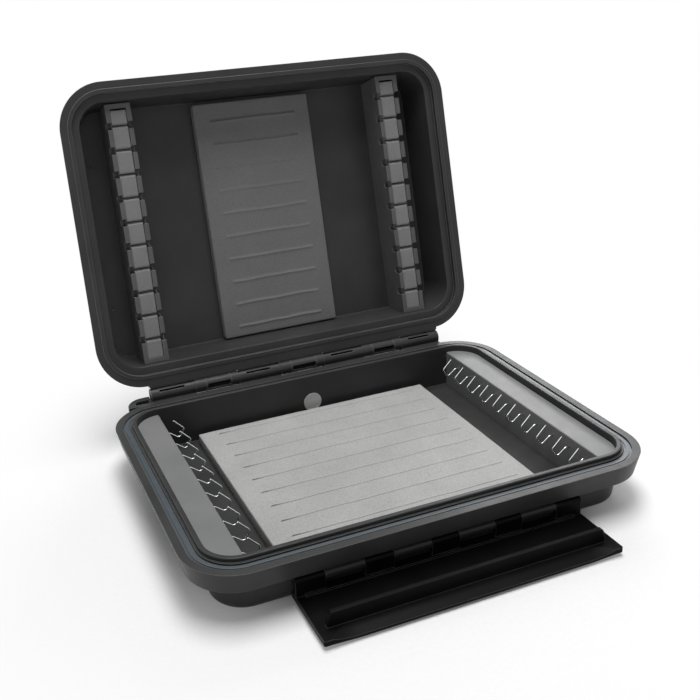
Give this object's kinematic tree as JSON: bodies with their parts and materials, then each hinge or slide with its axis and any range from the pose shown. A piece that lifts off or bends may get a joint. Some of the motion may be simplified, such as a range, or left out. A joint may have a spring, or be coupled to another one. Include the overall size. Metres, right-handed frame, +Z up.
{
  "type": "fly box",
  "caption": "Waterproof fly box with a hinged lid, front latch flap, rim seal, slit foam, sprung wire hooks and notched leader rails",
  "frame": {"origin": "centre of the flat underside of the base", "axes": "+X to the right along the long side, +Y towards the hinge, +Z up from the table"},
  "size_m": [0.3, 0.3436, 0.2553],
  "materials": {
    "case_plastic": "satin",
    "housing_plastic": "satin",
    "rail_plastic": "satin",
    "flap_plastic": "satin",
    "vent_plastic": "matte",
    "seal_rubber": "satin",
    "light_foam": "matte",
    "grey_foam": "matte",
    "steel": "satin"
  },
  "bodies": {
    "base": {"base_shell": "case_plastic", "rim_seal": "seal_rubber", "vent_disc": "vent_plastic", "base_foam_pad": "light_foam", "left_hook_housing": "housing_plastic", "right_hook_housing": "housing_plastic", "strap_loop": "case_plastic", "hinge_pin": "steel", "latch_pin": "steel", "left_hook_spring_01": "steel", "left_hook_spring_02": "steel", "left_hook_spring_03": "steel", "left_hook_spring_04": "steel", "left_hook_spring_05": "steel", "left_hook_spring_06": "steel", "left_hook_spring_07": "steel", "left_hook_spring_08": "steel", "left_hook_spring_09": "steel", "left_hook_spring_10": "steel", "right_hook_spring_01": "steel", "right_hook_spring_02": "steel", "right_hook_spring_03": "steel", "right_hook_spring_04": "steel", "right_hook_spring_05": "steel", "right_hook_spring_06": "steel", "right_hook_spring_07": "steel", "right_hook_spring_08": "steel", "right_hook_spring_09": "steel", "right_hook_spring_10": "steel"},
    "lid": {"lid_shell": "case_plastic", "lid_foam_pad": "grey_foam", "left_rig_rail": "rail_plastic", "right_rig_rail": "rail_plastic", "left_rail_insert": "grey_foam", "right_rail_insert": "grey_foam"},
    "latch": {"latch_flap": "flap_plastic"},
    "left_hook_01": {"left_hook_01": "steel"},
    "left_hook_02": {"left_hook_02": "steel"},
    "left_hook_03": {"left_hook_03": "steel"},
    "left_hook_04": {"left_hook_04": "steel"},
    "left_hook_05": {"left_hook_05": "steel"},
    "left_hook_06": {"left_hook_06": "steel"},
    "left_hook_07": {"left_hook_07": "steel"},
    "left_hook_08": {"left_hook_08": "steel"},
    "left_hook_09": {"left_hook_09": "steel"},
    "left_hook_10": {"left_hook_10": "steel"},
    "right_hook_01": {"right_hook_01": "steel"},
    "right_hook_02": {"right_hook_02": "steel"},
    "right_hook_03": {"right_hook_03": "steel"},
    "right_hook_04": {"right_hook_04": "steel"},
    "right_hook_05": {"right_hook_05": "steel"},
    "right_hook_06": {"right_hook_06": "steel"},
    "right_hook_07": {"right_hook_07": "steel"},
    "right_hook_08": {"right_hook_08": "steel"},
    "right_hook_09": {"right_hook_09": "steel"},
    "right_hook_10": {"right_hook_10": "steel"}
  },
  "joints": [
    {"name": "lid_hinge", "type": "hinge", "parent": "base", "child": "lid", "pos_m": [0, 0.1166, 0.03575], "axis": [1, 0, 0], "range_deg": [0, 104]},
    {"name": "latch_hinge", "type": "hinge", "parent": "base", "child": "latch", "pos_m": [0, -0.101, 0.0139], "axis": [-1, 0, 0], "range_deg": [0, 90]},
    {"name": "left_hook_01_slide", "type": "slide", "parent": "base", "child": "left_hook_01", "axis": [1, 0, 0], "range_m": [0, 0.006], "stiffness_N_per_m": 60, "springref_m": -0.004, "deforming": ["left_hook_spring_01"]},
    {"name": "left_hook_02_slide", "type": "slide", "parent": "base", "child": "left_hook_02", "axis": [1, 0, 0], "range_m": [0, 0.006], "stiffness_N_per_m": 60, "springref_m": -0.004, "deforming": ["left_hook_spring_02"]},
    {"name": "left_hook_03_slide", "type": "slide", "parent": "base", "child": "left_hook_03", "axis": [1, 0, 0], "range_m": [0, 0.006], "stiffness_N_per_m": 60, "springref_m": -0.004, "deforming": ["left_hook_spring_03"]},
    {"name": "left_hook_04_slide", "type": "slide", "parent": "base", "child": "left_hook_04", "axis": [1, 0, 0], "range_m": [0, 0.006], "stiffness_N_per_m": 60, "springref_m": -0.004, "deforming": ["left_hook_spring_04"]},
    {"name": "left_hook_05_slide", "type": "slide", "parent": "base", "child": "left_hook_05", "axis": [1, 0, 0], "range_m": [0, 0.006], "stiffness_N_per_m": 60, "springref_m": -0.004, "deforming": ["left_hook_spring_05"]},
    {"name": "left_hook_06_slide", "type": "slide", "parent": "base", "child": "left_hook_06", "axis": [1, 0, 0], "range_m": [0, 0.006], "stiffness_N_per_m": 60, "springref_m": -0.004, "deforming": ["left_hook_spring_06"]},
    {"name": "left_hook_07_slide", "type": "slide", "parent": "base", "child": "left_hook_07", "axis": [1, 0, 0], "range_m": [0, 0.006], "stiffness_N_per_m": 60, "springref_m": -0.004, "deforming": ["left_hook_spring_07"]},
    {"name": "left_hook_08_slide", "type": "slide", "parent": "base", "child": "left_hook_08", "axis": [1, 0, 0], "range_m": [0, 0.006], "stiffness_N_per_m": 60, "springref_m": -0.004, "deforming": ["left_hook_spring_08"]},
    {"name": "left_hook_09_slide", "type": "slide", "parent": "base", "child": "left_hook_09", "axis": [1, 0, 0], "range_m": [0, 0.006], "stiffness_N_per_m": 60, "springref_m": -0.004, "deforming": ["left_hook_spring_09"]},
    {"name": "left_hook_10_slide", "type": "slide", "parent": "base", "child": "left_hook_10", "axis": [1, 0, 0], "range_m": [0, 0.006], "stiffness_N_per_m": 60, "springref_m": -0.004, "deforming": ["left_hook_spring_10"]},
    {"name": "right_hook_01_slide", "type": "slide", "parent": "base", "child": "right_hook_01", "axis": [-1, 0, 0], "range_m": [0, 0.006], "stiffness_N_per_m": 60, "springref_m": -0.004, "deforming": ["right_hook_spring_01"]},
    {"name": "right_hook_02_slide", "type": "slide", "parent": "base", "child": "right_hook_02", "axis": [-1, 0, 0], "range_m": [0, 0.006], "stiffness_N_per_m": 60, "springref_m": -0.004, "deforming": ["right_hook_spring_02"]},
    {"name": "right_hook_03_slide", "type": "slide", "parent": "base", "child": "right_hook_03", "axis": [-1, 0, 0], "range_m": [0, 0.006], "stiffness_N_per_m": 60, "springref_m": -0.004, "deforming": ["right_hook_spring_03"]},
    {"name": "right_hook_04_slide", "type": "slide", "parent": "base", "child": "right_hook_04", "axis": [-1, 0, 0], "range_m": [0, 0.006], "stiffness_N_per_m": 60, "springref_m": -0.004, "deforming": ["right_hook_spring_04"]},
    {"name": "right_hook_05_slide", "type": "slide", "parent": "base", "child": "right_hook_05", "axis": [-1, 0, 0], "range_m": [0, 0.006], "stiffness_N_per_m": 60, "springref_m": -0.004, "deforming": ["right_hook_spring_05"]},
    {"name": "right_hook_06_slide", "type": "slide", "parent": "base", "child": "right_hook_06", "axis": [-1, 0, 0], "range_m": [0, 0.006], "stiffness_N_per_m": 60, "springref_m": -0.004, "deforming": ["right_hook_spring_06"]},
    {"name": "right_hook_07_slide", "type": "slide", "parent": "base", "child": "right_hook_07", "axis": [-1, 0, 0], "range_m": [0, 0.006], "stiffness_N_per_m": 60, "springref_m": -0.004, "deforming": ["right_hook_spring_07"]},
    {"name": "right_hook_08_slide", "type": "slide", "parent": "base", "child": "right_hook_08", "axis": [-1, 0, 0], "range_m": [0, 0.006], "stiffness_N_per_m": 60, "springref_m": -0.004, "deforming": ["right_hook_spring_08"]},
    {"name": "right_hook_09_slide", "type": "slide", "parent": "base", "child": "right_hook_09", "axis": [-1, 0, 0], "range_m": [0, 0.006], "stiffness_N_per_m": 60, "springref_m": -0.004, "deforming": ["right_hook_spring_09"]},
    {"name": "right_hook_10_slide", "type": "slide", "parent": "base", "child": "right_hook_10", "axis": [-1, 0, 0], "range_m": [0, 0.006], "stiffness_N_per_m": 60, "springref_m": -0.004, "deforming": ["right_hook_spring_10"]}
  ]
}
